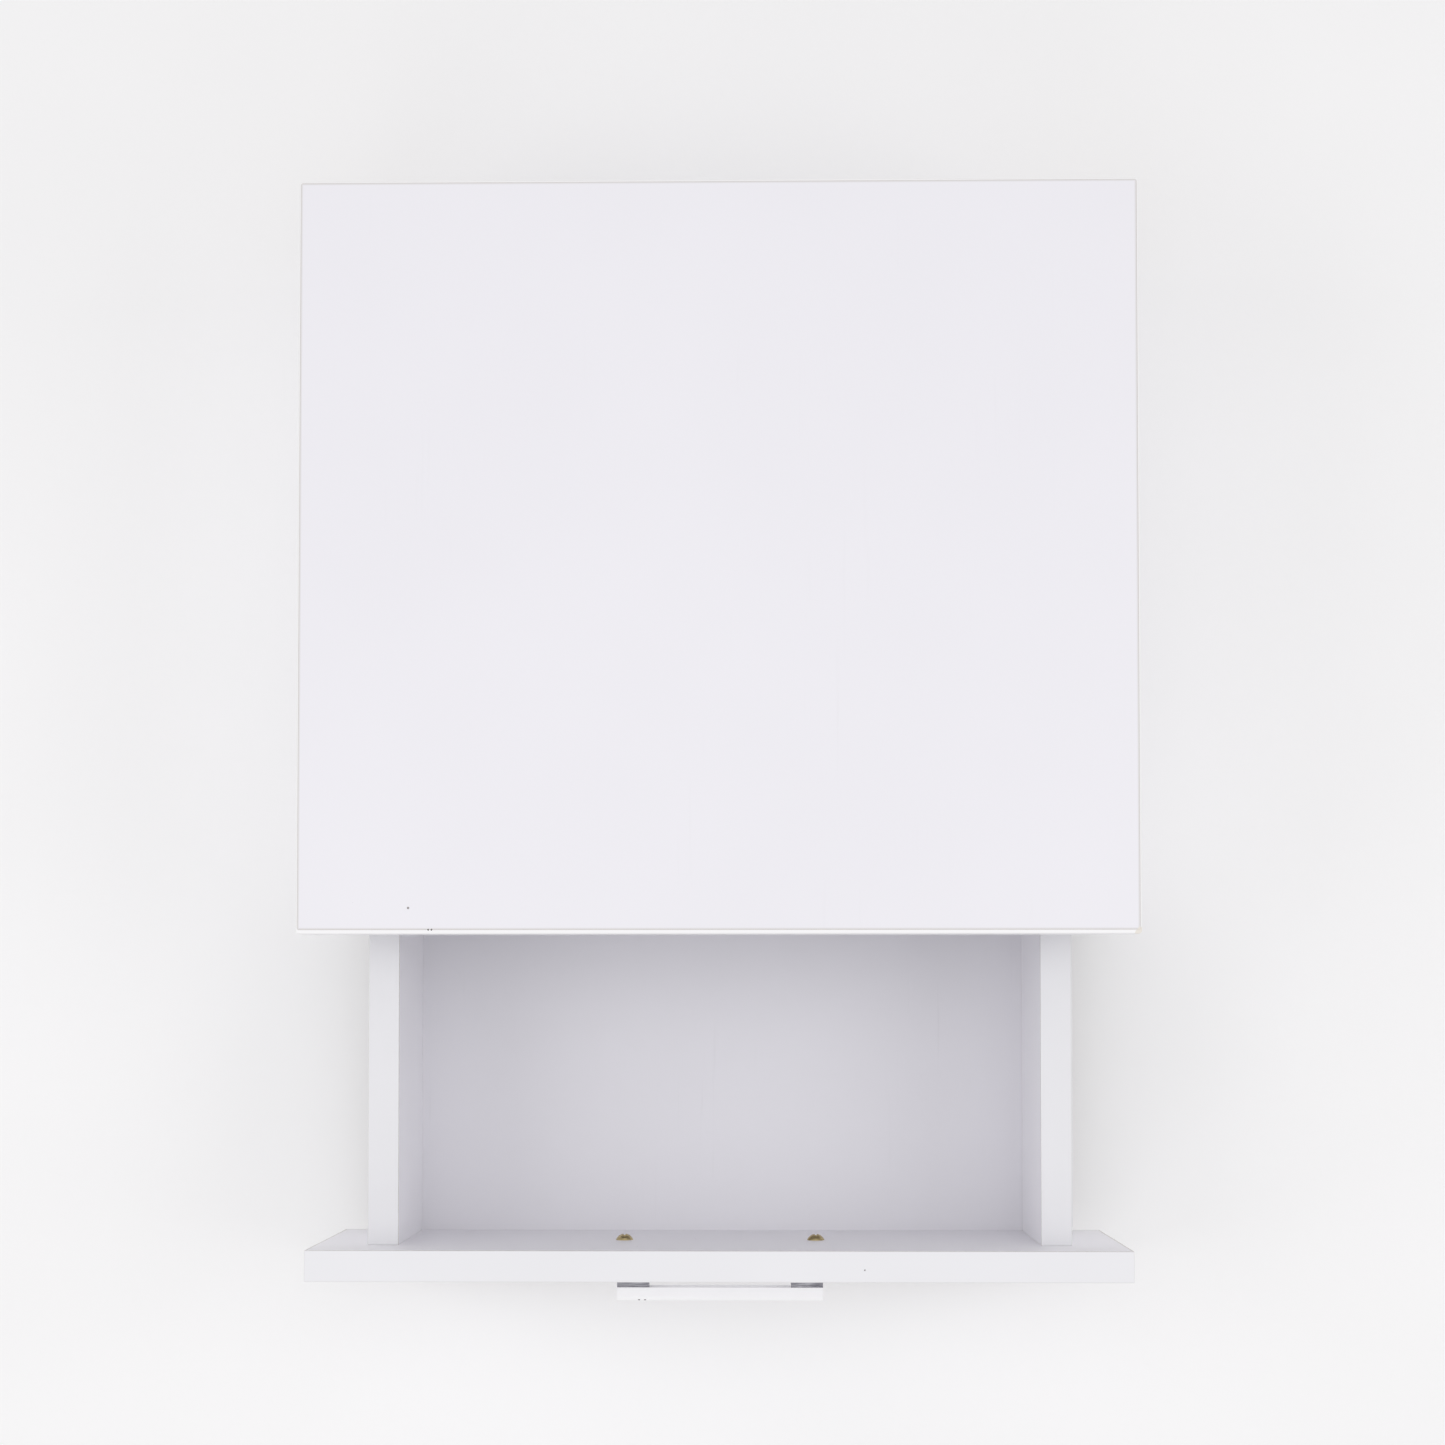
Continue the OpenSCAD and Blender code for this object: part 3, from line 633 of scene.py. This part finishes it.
dress_slot("fastener_steel", plated("zinc_fasteners", linear(206, 208, 212), linear(160, 162, 164),
                                    0.32, (500, 500, 500), 0.4))
dress_slot("zinc_plated_steel", plated("zinc_hanger_plates", linear(204, 206, 211),
                                       linear(168, 170, 170), 0.36, (900, 900, 60), 0.5))
# The feet's dark grey tone and strong dark and light stripes are painted reflections on the chrome.
dress_slot("handle_foot_chrome", plated("chrome_feet_painted_reflections", linear(186, 186, 192), linear(104, 103, 112),
                                        0.16, (140, 2600, 140), 0.85))
dress_slot("yellow_zinc_screw", plated("yellow_zinc_screws", linear(214, 198, 150),
                                       linear(150, 132, 92), 0.26, (500, 700, 700), 0.4))
print("finished so far:", len(dressed))

# %% [markdown]
# ## Coated steel and the handle bar
# The runners are bent sheet under white powder, which dries with a slight orange-peel skin. The bar is
# coated the same way, smoother, and its outer edge has two tiny dark nicks where the metal shows.

# %% Powder-coated pieces
def powder_coat(name, tone_color, roughness, peel_depth):
    finish = Finish(name, roughness, Coat_Weight=0.15, Coat_Roughness=0.2)
    tree = finish.tree
    tone = use(tree, soft_tone, Position=finish.position, Color=tone_color, Per_Metre=40, Spread=0.02)
    finish.roughness(remap(tree, tone["Level"], 0, 1, roughness - 0.04, roughness + 0.05))
    finish.relief(finish.noise(1100, 1), peel_depth, 0.4)
    return finish, tone["Color"]


runner_coat, coat_color = powder_coat("runner_powder_coat", linear(236, 236, 238), 0.34, 0.03 * MM)
rolled = use(runner_coat.tree, scuffs, Position=runner_coat.position, Along=(1200, 12, 1200), Amount=0.5)
runner_coat.color(blend(runner_coat.tree, rolled["Mask"], coat_color, linear(176, 177, 180)))
dress_slot("runner_enamel", runner_coat)

bar_coat, bar_color = powder_coat("bar_powder_coat", linear(251, 251, 252), 0.3, 0.008 * MM)
bar_low, bar_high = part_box("handle_bar")
NICKS = (11 * MM, 14 * MM)
NICK_RADIUS = 0.6 * MM
BARE_METAL = linear(104, 100, 98)
nick_color = bar_color
for from_end in NICKS:
    nick = (bar_low.x + from_end, bar_low.y + 0.4 * MM, bar_high.z - 1.2 * MM)
    hit = use(bar_coat.tree, chip_spot, Position=bar_coat.position, Centre=nick, Radius=NICK_RADIUS)
    nick_color = blend(bar_coat.tree, hit["Mask"], nick_color, BARE_METAL)
bar_coat.color(nick_color)
dress_slot("handle_white", bar_coat)
print("finished so far:", len(dressed))

# %% [markdown]
# ## Moulded and turned small parts
# Rollers are off-white nylon with a thin grey film from rolling. Cam caps are plain white plastic. The
# bumper pads are clear and soft, so they let some light through. Dowels are beech, with a long grain.

# %% Nylon, plastic, clear pads and beech
def moulded(name, color_value, roughness, dirt):
    finish = Finish(name, roughness, Subsurface_Weight=0.08, Subsurface_Radius=(0.002, 0.002, 0.002))
    tree = finish.tree
    tone = use(tree, soft_tone, Position=finish.position, Color=color_value, Per_Metre=90, Spread=0.04)
    film = remap(tree, finish.noise(300, 4), 0.45, 0.7, 0, dirt)
    finish.color(blend(tree, film, tone["Color"], linear(150, 146, 138)))
    finish.roughness(remap(tree, tone["Level"], 0, 1, roughness - 0.05, roughness + 0.08))
    finish.relief(finish.noise(2200, 1), 0.03 * MM, 0.4)
    return finish


dress_slot("runner_roller", moulded("roller_nylon", linear(226, 225, 218), 0.45, 0.3))
dress_slot("white_cap", moulded("cap_plastic", linear(240, 240, 240), 0.3, 0.05))

CLEAR_PLASTIC = linear(238, 242, 245)
pads = Finish("clear_pads", 0.2, Transmission_Weight=0.3, IOR=1.45)
pad_tone = use(pads.tree, soft_tone, Position=pads.position, Color=CLEAR_PLASTIC, Per_Metre=200,
               Spread=0.05)
pads.color(pad_tone["Color"])
pads.relief(pads.noise(900), 0.03 * MM, 0.4)
dress_slot("bumper", pads)

beech = Finish("beech_dowels", 0.62)
grain = beech.noise(1, 4, vector(beech.tree, "MULTIPLY", beech.position, (900, 120, 900)))
beech.color(blend(beech.tree, grain, linear(184, 142, 98), linear(222, 190, 146)))
beech.relief(grain, 0.1 * MM, 0.6)
dress_slot("beech_dowel", beech)
print("finished", len(dressed), "of", len(solids))
assert sorted(dressed) == sorted(solids)

# %% [markdown]
# ## The floor
# The cabinet lies over a pale, plain surface that ends far outside the view. Its very slight unevenness
# keeps the soft shadow from looking flat.

# %% Floor
FLOOR_REACH = 12
FLOOR_GAP = 0.2 * MM
PLASTER = linear(243, 243, 243)
bpy.ops.mesh.primitive_plane_add(size=2 * FLOOR_REACH, location=(0, 0, cad_low.z - FLOOR_GAP))
floor = bpy.context.object
floor.name = "floor"
plaster = Finish("pale_plaster", 0.85, Specular_IOR_Level=0.2, Emission_Strength=0.07,
                 Emission_Color=(1, 1, 1, 1))
plaster_tone = use(plaster.tree, soft_tone, Position=plaster.position, Color=PLASTER, Per_Metre=3,
                   Spread=0.03)
plaster.color(plaster_tone["Color"])
plaster.relief(plaster.noise(60, 5), 0.4 * MM, 0.3)
floor.data.materials.append(plaster.material)
print("floor at", round(floor.location.z, 4))
